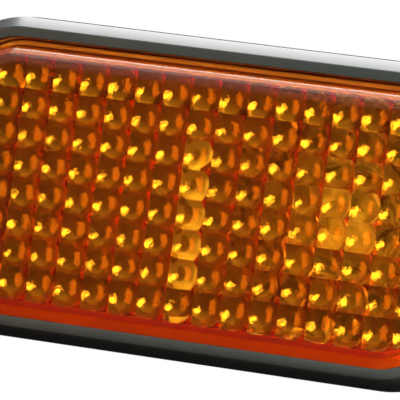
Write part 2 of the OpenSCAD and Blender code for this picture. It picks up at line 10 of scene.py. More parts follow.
import bmesh
import bpy
from mathutils import Matrix, Vector
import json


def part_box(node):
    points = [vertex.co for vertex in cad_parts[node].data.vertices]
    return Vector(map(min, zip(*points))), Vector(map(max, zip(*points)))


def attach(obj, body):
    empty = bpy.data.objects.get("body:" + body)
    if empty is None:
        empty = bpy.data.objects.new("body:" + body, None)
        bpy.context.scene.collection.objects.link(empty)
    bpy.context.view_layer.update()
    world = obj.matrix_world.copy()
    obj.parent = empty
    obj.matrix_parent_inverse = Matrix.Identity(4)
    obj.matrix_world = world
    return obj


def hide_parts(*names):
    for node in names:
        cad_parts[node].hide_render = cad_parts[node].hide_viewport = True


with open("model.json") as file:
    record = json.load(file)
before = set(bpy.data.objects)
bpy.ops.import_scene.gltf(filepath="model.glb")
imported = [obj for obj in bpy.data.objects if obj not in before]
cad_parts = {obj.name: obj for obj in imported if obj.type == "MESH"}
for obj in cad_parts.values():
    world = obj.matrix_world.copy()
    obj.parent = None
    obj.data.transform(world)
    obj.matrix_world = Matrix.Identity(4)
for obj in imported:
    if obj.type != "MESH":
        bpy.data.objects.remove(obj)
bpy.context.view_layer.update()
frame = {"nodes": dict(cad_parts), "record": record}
MM = 0.001
WELD = 0.001 * MM

# %% [markdown]
# The lamp looks along -Y. Its outline is one rounded rectangle, repeated at many distances
# from the field of pillows, so every ring of the lamp is named by how far it lies outside
# that field. The field itself is 17 by 8 square pillows of 3.5 mm, and the rings take their
# distances from the boxes of their CAD nodes.

# %% Outline of the lamp
COLUMNS, ROWS = 17, 8
CELL = 3.5 * MM
FIELD = (COLUMNS * CELL / 2, ROWS * CELL / 2)
CORNER = 5.7 * MM
CORNER_STEPS = 18
gasket_low, gasket_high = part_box("panel_gasket")
bezel_low, bezel_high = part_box("bezel")
lens_low, lens_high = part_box("lens")
seal_low, seal_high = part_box("lens_seal")
GASKET_OUT = gasket_high[0] - FIELD[0]
BEZEL_OUT = bezel_high[0] - FIELD[0]
FLANGE_OUT = lens_high[0] - FIELD[0]
SEAL_OUT = seal_high[0] - FIELD[0]
print("rings outside the field, mm:",
      [round(grow / MM, 2) for grow in (GASKET_OUT, BEZEL_OUT, FLANGE_OUT, SEAL_OUT)])


def outline_point(x, z, grow):
    """Moves a point to the outline that lies `grow` outside the field of pillows."""
    inner = [half - CORNER for half in FIELD]
    foot = Vector((max(-inner[0], min(inner[0], x)), max(-inner[1], min(inner[1], z))))
    outward = (Vector((x, z)) - foot).normalized()
    return foot + outward * (CORNER + grow)


# %% [markdown]
# Rings such as the frame and the gasket are made as a maker of trim would think of them: a
# section that is swept round the outline. The sweep starts from one rounded loop. Each
# extrude adds the next corner of the section, bridge_loops closes the ring, and a bevel
# breaks its edges, because no moulded edge is perfectly sharp and the small radius is what
# catches the light.

# %% Helpers that sweep a section round the outline
def outline_loop(mesh, grow, depth):
    """A closed loop of edges on the outline, at one depth."""
    bmesh.ops.create_grid(mesh, x_segments=1, y_segments=1, size=1)
    for vert in mesh.verts:
        vert.co = Vector((vert.co.x * FIELD[0], depth, vert.co.y * FIELD[1]))
    bmesh.ops.bevel(mesh, geom=mesh.verts[:], offset=CORNER, segments=CORNER_STEPS,
                    profile=0.5, affect="VERTICES", material=-1)
    bmesh.ops.delete(mesh, geom=mesh.faces[:], context="FACES_ONLY")
    for vert in mesh.verts:
        vert.co.x, vert.co.z = outline_point(vert.co.x, vert.co.z, grow)
    return mesh.edges[:]


def extrude_loop(mesh, loop, place):
    """Extrudes a loop of edges, moves each new point by `place` and gives the new loop."""
    made = bmesh.ops.extrude_edge_only(mesh, edges=loop)["geom"]
    for vert in [item for item in made if isinstance(item, bmesh.types.BMVert)]:
        vert.co = place(vert.co)
    return [item for item in made if isinstance(item, bmesh.types.BMEdge)]


def extrude_to(mesh, loop, grow, depth):
    """Extrudes a loop onto the outline at another distance and depth."""
    def on_outline(point):
        x, z = outline_point(point.x, point.z, grow)
        return Vector((x, depth, z))

    return extrude_loop(mesh, loop, on_outline)


def finish_piece(name, mesh, material, smooth_below=40):
    """Turns a bmesh into an object: normals outward, smooth faces, sharp edges kept."""
    bmesh.ops.recalc_face_normals(mesh, faces=mesh.faces[:])
    limit = math.radians(smooth_below)
    for face in mesh.faces:
        face.smooth = True
    for edge in mesh.edges:
        if len(edge.link_faces) == 2 and edge.calc_face_angle(0) > limit:
            edge.smooth = False
    data = bpy.data.meshes.new(name)
    mesh.to_mesh(data)
    mesh.free()
    data.materials.append(material)
    piece = bpy.data.objects.new(name, data)
    bpy.context.scene.collection.objects.link(piece)
    return piece


def swept_ring(name, section, radius, material):
    """A closed ring: `section` lists its corners as distance outside the field and depth."""
    mesh = bmesh.new()
    loops = [outline_loop(mesh, *section[0])]
    for grow, depth in section[1:]:
        loops.append(extrude_to(mesh, loops[-1], grow, depth))
    bmesh.ops.bridge_loops(mesh, edges=loops[0] + loops[-1])
    bmesh.ops.bevel(mesh, geom=[edge for loop in loops for edge in loop], offset=radius,
                    segments=3, profile=0.5, affect="EDGES", material=-1, clamp_overlap=True)
    return finish_piece(name, mesh, material)


def stands_for(piece, body, node):
    """Declares a piece: the body it rides on and the node it replaces."""
    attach(piece, body)
    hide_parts(node)
    size = [round(d / MM, 1) for d in piece.dimensions]
    print(piece.name, "is", size, "mm with", len(piece.data.polygons), "faces")


# %% [markdown]
# Materials are graphs of nodes. Written out link by link they are hard to read, so one small
# class wraps a socket and lets Python's own signs add the Math nodes, and one method adds
# any other node. Colours are typed as they look on a screen and turned to linear light.

# %% Helpers that write materials
def tone(red, green, blue):
    """A colour given as screen values from 0 to 255, in linear light."""
    linear = [(c / 255 / 12.92) if c <= 10 else ((c / 255 + 0.055) / 1.055) ** 2.4
              for c in (red, green, blue)]
    return (*linear, 1.0)


class Signal:
    """A socket that can be added, multiplied and compared."""

    def __init__(self, recipe, socket):
        self.recipe = recipe
        self.socket = socket

    def math(self, operation, *values):
        """Adds one Math node and gives its result."""
        return self.recipe.add("Math", {"operation": operation}, dict(enumerate(values)))

    def __add__(self, other):
        return self.math("ADD", self, other)

    def __mul__(self, other):
        return self.math("MULTIPLY", self, other)

    def __sub__(self, other):
        return self.math("SUBTRACT", self, other)

    def __rsub__(self, other):
        return self.math("SUBTRACT", other, self)

    def __gt__(self, other):
        return self.math("GREATER_THAN", self, other)

    def __lt__(self, other):
        return self.math("LESS_THAN", self, other)

    def __abs__(self):
        return self.math("ABSOLUTE", self)

    __radd__ = __add__
    __rmul__ = __mul__

    def larger(self, other):
        return self.math("MAXIMUM", self, other)

    def between(self, low, high, start=0.0, end=1.0):
        """Runs smoothly from start to end while the value goes from low to high."""
        return self.recipe.add("MapRange", {"interpolation_type": "SMOOTHSTEP"},
                               {"Value": self, "From Min": low, "From Max": high,
                                "To Min": start, "To Max": end})


class Recipe:
    """The nodes of one material or of the world."""

    def __init__(self, owner):
        owner.use_nodes = True
        self.owner = owner
        self.tree = owner.node_tree
        self.tree.nodes.clear()

    def add(self, kind, settings=None, sockets=None, output=0):
        """Adds one node: its settings first, then the values or links of its sockets."""
        node = self.tree.nodes.new("ShaderNode" + kind)
        for name, value in (settings or {}).items():
            setattr(node, name, value)
        for name, value in (sockets or {}).items():
            if isinstance(value, Signal):
                self.tree.links.new(value.socket, node.inputs[name])
            else:
                node.inputs[name].default_value = value
        return Signal(self, node.outputs[output]) if node.outputs else node

    def place(self):
        """Object coordinates: they stay on the piece and are the same in every view."""
        return self.add("TexCoord", output="Object")

    def axis(self, name):
        return self.add("SeparateXYZ", sockets={0: self.place()}, output=name)

    def noise(self, size, detail=3.0, roughness=0.55, stretch=(1, 1, 1)):
        """Cloudy noise whose blots are about `size` metres across."""
        scaled = self.add("Mapping", sockets={"Vector": self.place(), "Scale": stretch})
        return self.add("TexNoise", sockets={"Vector": scaled, "Scale": 1 / size,
                                             "Detail": detail, "Roughness": roughness})

    def cells(self, size):
        """Distance from the nearest of many points, which lie about `size` metres apart."""
        return self.add("TexVoronoi", sockets={"Vector": self.place(), "Scale": 1 / size})

    def blend(self, mask, first, second):
        return self.add("Mix", {"data_type": "RGBA"}, {0: mask, 6: first, 7: second}, output=2)

    def bump(self, height, depth, strength=1.0):
        """A normal that leans as if a height of 1 stood `depth` metres out."""
        return self.add("Bump", sockets={"Height": height, "Distance": depth,
                                         "Strength": strength})

    def surface(self, shader, volume=None):
        sockets = {"Surface": shader}
        if volume:
            sockets["Volume"] = volume
        self.add("OutputMaterial", sockets=sockets)
        return self.owner


def recipe(name):
    return Recipe(bpy.data.materials.new(name))


# %% [markdown]
# The lens is amber all through, so its colour isn't painted on: light is absorbed on its way
# through the plastic, blue soon, green slowly and red hardly at all. Thin glints come out
# yellow, and light that has gone sideways through the lens comes out deep red. Volume
# Absorption does exactly this, with the density set per metre. Masks on the place then give
# each inner surface its own skin. The pillows sparkle, which a thin mirror share with a fine
# ripple brings out, and a still thinner matt share lifts their shadows. The walls of the
# recess and the back of the flange inside the seal are frosted, and their colour is painted
# light: red at the bottom and amber at the top, for the light that has come down through the
# plate. At the bottom the red frost is also painted on over the seal, a painted glow that
# makes the bottom band brighter.

# %% Amber acrylic of the lens
CONTACT_GAP = 0.03 * MM
FLANGE_BACK = lens_high[1] - CONTACT_GAP
SEAL_IN = 1.15 * MM
# The last share is the painted glow of red frost laid over the seal at the bottom.
PILLOW_SHINE, PILLOW_HAZE, SEAL_PAINTED_GLOW = 0.19, 0.07, 0.75
LENS_ABSORPTION = (0.997, 0.865, 0.3, 1.0)
# Frost colours that are painted light: red low down, amber high up.
RED_FROST_PAINTED_LIGHT, AMBER_FROST_PAINTED_LIGHT = (1.0, 0.2, 0.04, 1.0), (0.85, 0.42, 0.14, 1.0)
VALLEY_DEPTH = -6.0 * MM
PILLOW_EDGE_RISE = 0.48 * MM
WALL_SLACK, BACK_SLACK, VALLEY_SLACK = 0.1 * MM, 0.05 * MM, 0.02 * MM
print("1 mm of the lens lets through, as red, green and blue:",
      [round(math.exp(share - 1), 3) for share in LENS_ABSORPTION[:3]])


def inner_surfaces(mix, upward):
    """Masks of the lens's inside: what is a pillow, and how far the rest is frosted."""
    x, y, z = abs(mix.axis("X")), mix.axis("Y"), abs(mix.axis("Z"))
    inside = y > VALLEY_DEPTH + VALLEY_SLACK
    on_pillows = inside * (x < FIELD[0] - WALL_SLACK) * (z < FIELD[1] - WALL_SLACK)
    on_walls = inside * (x < FIELD[0] + WALL_SLACK) * (z < FIELD[1] + WALL_SLACK) - on_pillows
    on_walls = on_walls * (y > VALLEY_DEPTH + PILLOW_EDGE_RISE)
    on_back = y > FLANGE_BACK - BACK_SLACK
    clear_of_seal = (x < FIELD[0] + SEAL_IN) * (z < FIELD[1] + SEAL_IN)
    # Painted light: below the middle the red frost is also painted on over the seal, so the
    # bottom band glows brighter.
    painted_glow_under_seal = (1 - clear_of_seal) * (1 - upward) * SEAL_PAINTED_GLOW
    return on_pillows, on_walls.larger(on_back * (clear_of_seal + painted_glow_under_seal))


def amber_acrylic():
    mix = recipe("amber_acrylic")
    smears = mix.noise(9 * MM, detail=4).between(0.35, 0.75)
    ripple = mix.noise(14 * MM, detail=1)
    body = mix.add("BsdfPrincipled", sockets={
        "Base Color": (1.0, 0.985, 0.96, 1.0), "Transmission Weight": 1.0, "IOR": 1.49,
        "Roughness": smears * 0.012 + 0.002,
        "Normal": mix.bump(ripple, 0.02 * MM, 0.4)})
    flow = mix.noise(0.8 * MM, detail=2)
    glint = mix.add("BsdfAnisotropic", {"distribution": "GGX"},
                    {"Color": (1, 1, 1, 1), "Roughness": 0.1,
                     "Normal": mix.bump(flow, 0.14 * MM, 0.6)})
    haze = mix.add("BsdfDiffuse", sockets={"Color": (1.0, 0.38, 0.5, 1.0)})
    # The frost's colour is painted light: deep red at the bottom and amber at the top, for light
    # that has come down through the plate.
    upward = mix.axis("Z").between(-FIELD[1], FIELD[1])
    frost = mix.add("BsdfPrincipled", sockets={
        "Base Color": mix.blend(upward, RED_FROST_PAINTED_LIGHT, AMBER_FROST_PAINTED_LIGHT),
        "Roughness": 1.0, "Specular IOR Level": 0.0})
    on_pillows, frosted = inner_surfaces(mix, upward)
    hazy = mix.add("MixShader", sockets={0: on_pillows * PILLOW_HAZE, 1: body, 2: haze})
    clear = mix.add("MixShader", sockets={0: frosted, 1: hazy, 2: frost})
    skin = mix.add("MixShader", sockets={0: on_pillows * PILLOW_SHINE, 1: clear, 2: glint})
    depth = mix.add("VolumeAbsorption", sockets={"Color": LENS_ABSORPTION, "Density": 1 / MM})
    return mix.surface(skin, depth)


# %% [markdown]
# Black plastic is never one black. The frame is a satin moulding: its roughness drifts a
# little from place to place, a very fine grain breaks up the reflections, and a few specks
# of dust have settled on it. Its colour also carries painted shade: at the bottom it is
# lighter next to the lens and darker outward, as a rounded face is shaded, and towards the
# top it keeps one even tone between the two. The housing behind it is the same plastic out
# of a spark-eroded mould, which leaves a coarser matt grain.

# %% Black plastics and rubbers
# How far past the face the painted shade keeps darkening, and how much of the darker tone the top
# keeps.
SHADE_REACH, UPPER_SHADE_SHARE = 0.6 * MM, 0.35


def satin_frame():
    mix = recipe("satin_frame")
    drift = mix.noise(7 * MM, detail=4)
    specks = (mix.cells(2.6 * MM) < 0.022) * mix.noise(12 * MM).between(0.5, 0.6)
    beside, above = abs(mix.axis("X")) - FIELD[0], abs(mix.axis("Z")) - FIELD[1]
    # Painted shade: the frame runs from lighter next to the lens to darker outward, as a rounded
    # face is shaded, with one even blend towards the top.
    outward = beside.larger(above).between(OPENING, FACE_OUT + SHADE_REACH)
    upper = mix.axis("Z").between(-FIELD[1], FIELD[1])
    painted_light_tone = mix.blend(drift, tone(40, 45, 43), tone(48, 54, 51))
    painted_shade_tone = mix.blend(drift, tone(12, 16, 15), tone(17, 21, 20))
    colour = mix.blend(outward * (1 - upper) + upper * UPPER_SHADE_SHARE, painted_light_tone, painted_shade_tone)
    colour = mix.blend(specks, colour, tone(190, 192, 190))
    grain = mix.noise(0.22 * MM, detail=2)
    shader = mix.add("BsdfPrincipled", sockets={
        "Base Color": colour, "Roughness": drift * 0.12 + specks * 0.4 + 0.2,
        "IOR": 1.52, "Normal": mix.bump(grain, 0.01 * MM, 0.35)})
    return mix.surface(shader)


def matt_black(name, light, dark, grain_size, grain_depth, roughness):
    mix = recipe(name)
    drift = mix.noise(6 * MM, detail=5)
    worn = mix.noise(1.4 * MM, detail=3).between(0.55, 0.8)
    colour = mix.blend(drift, dark, light)
    grain = mix.noise(grain_size, detail=3) + mix.cells(grain_size * 1.6) * 0.5
    shader = mix.add("BsdfPrincipled", sockets={
        "Base Color": colour, "Roughness": roughness - worn * 0.12 + drift * 0.06,
        "IOR": 1.5, "Normal": mix.bump(grain, grain_depth, 0.6)})
    return mix.surface(shader)


def rubber(name, light, dark):
    mix = recipe(name)
    bloom = mix.noise(3.5 * MM, detail=5).between(0.45, 0.8)
    colour = mix.blend(bloom, dark, light)
    shader = mix.add("BsdfPrincipled", sockets={
        "Base Color": colour, "Roughness": bloom * 0.15 + 0.55, "IOR": 1.5,
        "Normal": mix.bump(mix.noise(0.3 * MM), 0.02 * MM, 0.5)})
    return mix.surface(shader)


# %% [markdown]
# The holder is nylon without dye. Inside the lamp it stays pale, outside it has yellowed and
# dust greys it. The silicone of the lens seal is red-brown. Its narrow lip is painted pale, a
# painted highlight that makes it show as a bright line through the flange.

# %% Nylon and silicone
HOLDER_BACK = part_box("bulb_holder")[1][1]
FRESH_END, AGED_START = HOLDER_BACK - 24 * MM, HOLDER_BACK - 18 * MM
LIP_SLACK = 0.15 * MM
print("the nylon ages from y", round(FRESH_END / MM, 1), "to", round(AGED_START / MM, 1), "mm")


def moulded_nylon():
    mix = recipe("moulded_nylon")
    outside = mix.axis("Y").between(FRESH_END, AGED_START)
    drift = mix.noise(5 * MM, detail=5)
    fresh = mix.blend(drift, tone(240, 237, 228), tone(232, 228, 216))
    aged = mix.blend(drift, tone(172, 165, 148), tone(154, 147, 130))
    grain = mix.noise(0.22 * MM, detail=2)
    shader = mix.add("BsdfPrincipled", sockets={
        "Base Color": mix.blend(outside, fresh, aged), "Roughness": drift * 0.14 + 0.4,
        "IOR": 1.53, "Normal": mix.bump(grain, 0.012 * MM, 0.5)})
    return mix.surface(shader)


def lipped_silicone():
    mix = recipe("lipped_silicone")
    bloom = mix.noise(3.5 * MM, detail=5).between(0.45, 0.8)
    # The pale lip is a painted highlight, the bright line seen through the flange.
    painted_lip_highlight = mix.axis("Y") < seal_low[1] + LIP_SLACK
    colour = mix.blend(bloom, tone(150, 66, 36), tone(170, 84, 50))
    colour = mix.blend(painted_lip_highlight, colour, tone(240, 188, 156))
    shader = mix.add("BsdfPrincipled", sockets={
        "Base Color": colour, "Roughness": bloom * 0.15 + 0.4, "IOR": 1.43,
        "Normal": mix.bump(mix.noise(0.3 * MM), 0.02 * MM, 0.4)})
    return mix.surface(shader)


# %% [markdown]
# The metals differ in how they were made. The bowl is aluminium vapour on plastic, a mirror
# with the orange peel of the plastic under it. Round the hole it is painted paler, painted
# light that brightens the golden glow round the bulb, and it is duller there, and the flat
# pan and its ridge have lost their shine. Wire and strip are drawn or rolled, so their fine
# lines run along them, and brass stains where fingers touched it.

# %% Silvering, wire, brass and steel
PAN_SLACK = 0.05 * MM


def vapour_silver():
    mix = recipe("vapour_silver")
    haze = mix.noise(4 * MM, detail=4).between(0.4, 0.8)
    peel = mix.noise(1.6 * MM, detail=2)
    pan = abs(mix.axis("Y") - PAN) < PAN_SLACK
    ridge = mix.axis("Y") < PAN - PAN_SLACK
    colour = mix.blend(haze, tone(182, 160, 140), tone(130, 106, 88))
    across, upward = mix.axis("X") - BULB_X, mix.axis("Z")
    reach = across * across + upward * upward + mix.noise(3 * MM, detail=2) * BOWL_RIM ** 2 * 0.5
    # Round the hole the silver is painted paler, painted light for the golden glow round the
    # bulb; it is also rougher there.
    painted_glow_near_hole = reach.between(BULB_HOLE ** 2 * 1.6, BOWL_RIM ** 2 * 0.95, 1.0, 0.0)
    colour = mix.blend(painted_glow_near_hole, colour, tone(240, 236, 226))
    colour = mix.blend(pan, colour, tone(118, 96, 84))
    colour = mix.blend(ridge, colour, tone(158, 156, 150))
    shader = mix.add("BsdfPrincipled", sockets={
        "Base Color": colour, "Metallic": 1.0,
        "Roughness": haze * 0.05 + painted_glow_near_hole * 0.3 + pan * 0.42 + ridge * 0.26 + 0.07,
        "Normal": mix.bump(peel, 0.05 * MM, 0.6)})
    return mix.surface(shader)


def drawn_metal(name, bright, stained, roughness, stretch):
    mix = recipe(name)
    lines = mix.noise(0.25 * MM, detail=3, stretch=stretch)
    stain = mix.noise(2.2 * MM, detail=5).between(0.45, 0.75)
    colour = mix.blend(stain, bright, stained)
    shader = mix.add("BsdfPrincipled", sockets={
        "Base Color": colour, "Metallic": 1.0,
        "Roughness": lines * 0.18 + stain * 0.12 + roughness,
        "Normal": mix.bump(lines, 0.008 * MM, 0.5)})
    return mix.surface(shader)


# %% [markdown]
# The bulb's glass is clear, with faint draw lines from the tube it was blown from, but clouds
# of crinkled white bloom cover much of it. They scatter the light, which is why the pillows
# over the bulb look golden. The foam of the breather is a mass of small open cells.

# %% Bulb glass and foam
def blown_glass():
    mix = recipe("blown_glass")
    draw = mix.noise(2.5 * MM, detail=2, stretch=(1, 0.15, 1))
    clear = mix.add("BsdfPrincipled", sockets={
        "Base Color": (0.97, 0.98, 0.985, 1.0), "Transmission Weight": 1.0, "IOR": 1.5,
        "Roughness": draw * 0.01, "Normal": mix.bump(draw, 0.05 * MM, 0.3)})
    crinkle = mix.noise(1.1 * MM, detail=3)
    bloom = mix.add("BsdfDiffuse", sockets={"Color": (0.98, 0.98, 0.97, 1.0),
                                            "Normal": mix.bump(crinkle, 0.6 * MM)})
    cloud = mix.noise(1.1 * MM, detail=4).between(0.42, 0.56, 0.2, 1.0)
    return mix.surface(mix.add("MixShader", sockets={0: cloud, 1: clear, 2: bloom}))


def open_foam():
    mix = recipe("open_foam")
    pores = mix.cells(0.45 * MM).between(0.15, 0.6)
    # The pores are darker in their middles: painted shade in their hollows.
    colour = mix.blend(pores, tone(58, 58, 56), tone(150, 149, 144))
    shader = mix.add("BsdfPrincipled", sockets={
        "Base Color": colour, "Roughness": 0.9, "Normal": mix.bump(pores, 0.15 * MM)})
    return mix.surface(shader)


# %% [markdown]
# The other finishes are those recipes with their own tones, listed by the material slots of
# the record. The CAD nodes take them at once, which dresses the wires, the bulb's anchor and
# the foam for good. The seal, the gasket, the filament and the rounded copies further down
# take theirs from the same list; the lens, the frame, the bowl and the bulb's glass make their
# own.

# %% Finishes by material slot
finishes = {
    "black_housing": matt_black("eroded_housing", tone(52, 52, 54), tone(40, 40, 42),
                                0.35 * MM, 0.03 * MM, 0.55),
    "pale_holder": moulded_nylon(),
    "seal_silicone": lipped_silicone(),
    "gasket_rubber": rubber("gasket_rubber", tone(30, 30, 30), tone(18, 18, 19)),
    "seal_rubber": rubber("seal_rubber", tone(74, 74, 75), tone(52, 52, 54)),
    "lead_wire": drawn_metal("nickel_wire", tone(196, 192, 184), tone(150, 142, 130),
                             0.2, (1, 0.1, 1)),
    "tungsten": drawn_metal("tungsten_wire", tone(120, 120, 126), tone(82, 82, 90),
                            0.3, (0.2, 1, 1)),
    "contact_brass": drawn_metal("contact_brass", tone(226, 196, 120), tone(168, 128, 66),
                                 0.18, (1, 0.12, 1)),
    "spring_steel": drawn_metal("spring_steel", tone(176, 180, 186), tone(112, 112, 116),
                                0.22, (0.12, 1, 1)),
    "zinc_screw": drawn_metal("zinc_plate", tone(206, 208, 210), tone(170, 166, 140),
                              0.25, (1, 1, 1)),
    "filter_foam": open_foam(),
}
for row in frame["record"]["subparts"]:
    if row["material_slot"] in finishes:
        for mesh_slot in frame["nodes"][row["node"]].material_slots:
            mesh_slot.material = finishes[row["material_slot"]]
print("finishes by slot:", sorted(finishes))

# %% [markdown]
# The lens is the piece that makes this lamp. Its front is flat and its inside carries 17 by 8
# pillows, each part of a sphere that passes through the corners of its square. The mesh
# starts as one fine grid. The grid's cells outside the rounded corners are deleted, its rim
# is drawn onto the outline, and every point is lifted to the sphere of its own pillow. Then
# the rim is extruded round the flange, up the raised block and over its bevel, and the flat
# front closes it, so the light passes through one watertight body as in the real moulding.

# %% Lens with its pillows
STEPS_PER_CELL = 12
PILLOW_RADIUS = 4.0 * MM
REACH = CELL / math.sqrt(2)
BAND_DEPTH = -4.8 * MM
BLOCK = 1.3 * MM
BEVEL_DEPTH = -6.6 * MM
FRONT = lens_low[1]
SHOULDER_ROUND, FRONT_ROUND = 0.35 * MM, 1.1 * MM


def pillow_rise(x, z):
    """How far the sphere of this point's pillow stands behind the valleys."""
    local = [(place + half) / CELL for place, half in zip((x, z), FIELD)]
    local = [(place - math.floor(place) - 0.5) * CELL for place in local]
    return math.sqrt(PILLOW_RADIUS ** 2 - local[0] ** 2 - local[1] ** 2) \
        - math.sqrt(PILLOW_RADIUS ** 2 - REACH ** 2)


def outside_corner(point):
    """True for a point beyond the rounded corners of the field."""
    past = [abs(place) - (half - CORNER) for place, half in zip((point.x, point.z), FIELD)]
    return min(past) > 0 and math.hypot(*past) > CORNER


def pillow_field(mesh):
    """The pillows as one sheet, whose boundary edges are given back."""
    bmesh.ops.create_grid(mesh, x_segments=COLUMNS * STEPS_PER_CELL,
                          y_segments=ROWS * STEPS_PER_CELL, size=1)
    for vert in mesh.verts:
        vert.co = Vector((vert.co.x * FIELD[0], VALLEY_DEPTH, vert.co.y * FIELD[1]))
    outer = [face for face in mesh.faces if outside_corner(face.calc_center_median())]
    bmesh.ops.delete(mesh, geom=outer, context="FACES")
    rim = [edge for edge in mesh.edges if edge.is_boundary]
    for vert in {vert for edge in rim for vert in edge.verts}:
        vert.co.x, vert.co.z = outline_point(vert.co.x, vert.co.z, 0)
    for vert in mesh.verts:
        vert.co.y = VALLEY_DEPTH + pillow_rise(vert.co.x, vert.co.z)
    return rim


def moulded_lens():
    mesh = bmesh.new()
    loop = pillow_field(mesh)
    for grow, depth in ((0, FLANGE_BACK), (FLANGE_OUT, FLANGE_BACK), (FLANGE_OUT, BAND_DEPTH),
                        (BLOCK, BAND_DEPTH)):
        loop = extrude_to(mesh, loop, grow, depth)
    shoulder = extrude_to(mesh, loop, BLOCK, BEVEL_DEPTH)
    front = extrude_to(mesh, shoulder, 0, FRONT)
    bmesh.ops.contextual_create(mesh, geom=front)
    for edges, radius in ((shoulder, SHOULDER_ROUND), (front, FRONT_ROUND)):
        bmesh.ops.bevel(mesh, geom=edges, offset=radius, segments=5, profile=0.5,
                        affect="EDGES", material=-1)
    return finish_piece("amber_lens", mesh, amber_acrylic(), smooth_below=30)


stands_for(moulded_lens(), "lamp", "lens")

# %% [markdown]
# The frame snaps over the rim of the housing and holds the lens by its flange. Its section
# has a straight edge, a long slope, a narrow flat face and a lip that reaches in over the
# flange. The gasket behind it stands out a little and shows as a thin dark line.

# %% Frame and gasket
BEZEL_BACK, BEZEL_FACE = bezel_high[1], bezel_low[1]
SLOPE_DEPTH = -3.9 * MM
FACE_OUT, OPENING, CAVITY = 3.76 * MM, 2.56 * MM, 3.56 * MM
bezel_section = ((BEZEL_OUT, BEZEL_BACK), (BEZEL_OUT, SLOPE_DEPTH), (FACE_OUT, BEZEL_FACE),
                 (OPENING, BEZEL_FACE), (OPENING, BAND_DEPTH), (CAVITY, BAND_DEPTH),
                 (CAVITY, BEZEL_BACK))
BEZEL_ROUND, GASKET_ROUND = 0.12 * MM, 0.15 * MM
bezel = swept_ring("front_frame", bezel_section, BEZEL_ROUND, satin_frame())
stands_for(bezel, "lamp", "bezel")

GASKET_IN = 3.31 * MM
gasket_section = ((GASKET_OUT, 0.0), (GASKET_OUT, gasket_low[1]),
                  (GASKET_IN, gasket_low[1]), (GASKET_IN, 0.0))
gasket = swept_ring("rubber_gasket", gasket_section, GASKET_ROUND, finishes["gasket_rubber"])
stands_for(gasket, "lamp", "panel_gasket")

# %% [markdown]
# The lens seal is a silicone ring. Its front has a rim at the outside, which the frame hides,
# and one lip along the middle. Between them it is cut back, and the lip is painted pale as a
# painted highlight, so through the amber flange the lip shows as a bright line with a darker
# groove on each side.

# %% Lens seal
LIP, LIP_HALF, GROOVE, SEAL_ROUND = 1.98 * MM, 0.2 * MM, 0.45 * MM, 0.05 * MM
seal_front, seal_back = seal_low[1], seal_high[1]
seal_section = ((SEAL_OUT, seal_back), (SEAL_OUT, seal_front), (SEAL_OUT - LIP_HALF, seal_front),
                (SEAL_OUT - 2 * LIP_HALF, seal_front + GROOVE),
                (LIP + 2 * LIP_HALF, seal_front + GROOVE), (LIP + LIP_HALF, seal_front),
                (LIP - LIP_HALF, seal_front), (LIP - 2 * LIP_HALF, seal_front + GROOVE),
                (SEAL_IN, seal_front + GROOVE), (SEAL_IN, seal_back))
seal = swept_ring("silicone_seal", seal_section, SEAL_ROUND, finishes["seal_silicone"])
stands_for(seal, "lamp", "lens_seal")

# %% [markdown]
# The silvered insert is a flat pan with a deep parabolic bowl round the bulb. A parabola
# throws light from its focus straight forward, so the bowl is drawn from its focus, which is
# where the filament sits. The pan's outline and the bowl's rim are two loops that one fill
# joins, the rim is extruded ring by ring down the parabola, and Solidify's bmesh operator
# gives the sheet its thickness.

# %% Reflector
pan_low, pan_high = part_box("reflector")
glass_low, glass_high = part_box("bulb_glass")
filament_low, filament_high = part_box("bulb_filament")
BULB_X = (glass_low[0] + glass_high[0]) / 2
FOCUS = (filament_low[1] + filament_high[1]) / 2
PAN = pan_low[1]
PAN_GROW = pan_high[0] - FIELD[0]
BOWL_RIM, BULB_HOLE, SHEET = 12.85 * MM, 6.3 * MM, 0.6 * MM
BOWL_RINGS, CIRCLE_STEPS = 36, 128
drop = FOCUS - PAN
FOCAL = (math.hypot(drop, BOWL_RIM) - drop) / 2
print("bowl focus", round(FOCAL / MM, 2), "mm, bulb axis at x", round(BULB_X / MM, 2), "mm")


def bowl_depth(radius):
    """Depth of the parabola at a distance from its axis."""
    return FOCUS + FOCAL - radius ** 2 / (4 * FOCAL)


def circle(mesh, segments, radius, turn):
    """A circle of edges, which `turn` puts in its place."""
    made = bmesh.ops.create_circle(mesh, segments=segments, radius=radius, matrix=turn)
    return made["verts"], list({edge for vert in made["verts"] for edge in vert.link_edges})


def ring_to(mesh, loop, radius, depth):
    """Extrudes a circle round the bulb's axis to another radius and depth."""
    def on_circle(point):
        spoke = Vector((point.x - BULB_X, point.z)).normalized() * radius
        return Vector((BULB_X + spoke.x, depth, spoke.y))

    return extrude_loop(mesh, loop, on_circle)


RIDGE_X, RIDGE_Z = -4 * MM, -2.5 * MM
RIDGE_WIDTH, RIDGE_HEIGHT, RIDGE_LENGTH = 3.4 * MM, 1.0 * MM, 16 * MM
RIDGE_SUNK = 0.1 * MM


def pan_ridge(mesh):
    """A low ridge on the pan: a cube whose front is pinched to one edge."""
    made = bmesh.ops.create_cube(mesh, size=1)
    for vert in made["verts"]:
        front = vert.co.y < 0
        x = 0 if front else vert.co.x * RIDGE_WIDTH
        y = PAN - RIDGE_HEIGHT if front else PAN + RIDGE_SUNK
        vert.co = Vector((RIDGE_X + x, y, RIDGE_Z + vert.co.z * RIDGE_LENGTH))
    bmesh.ops.remove_doubles(mesh, verts=made["verts"], dist=WELD)


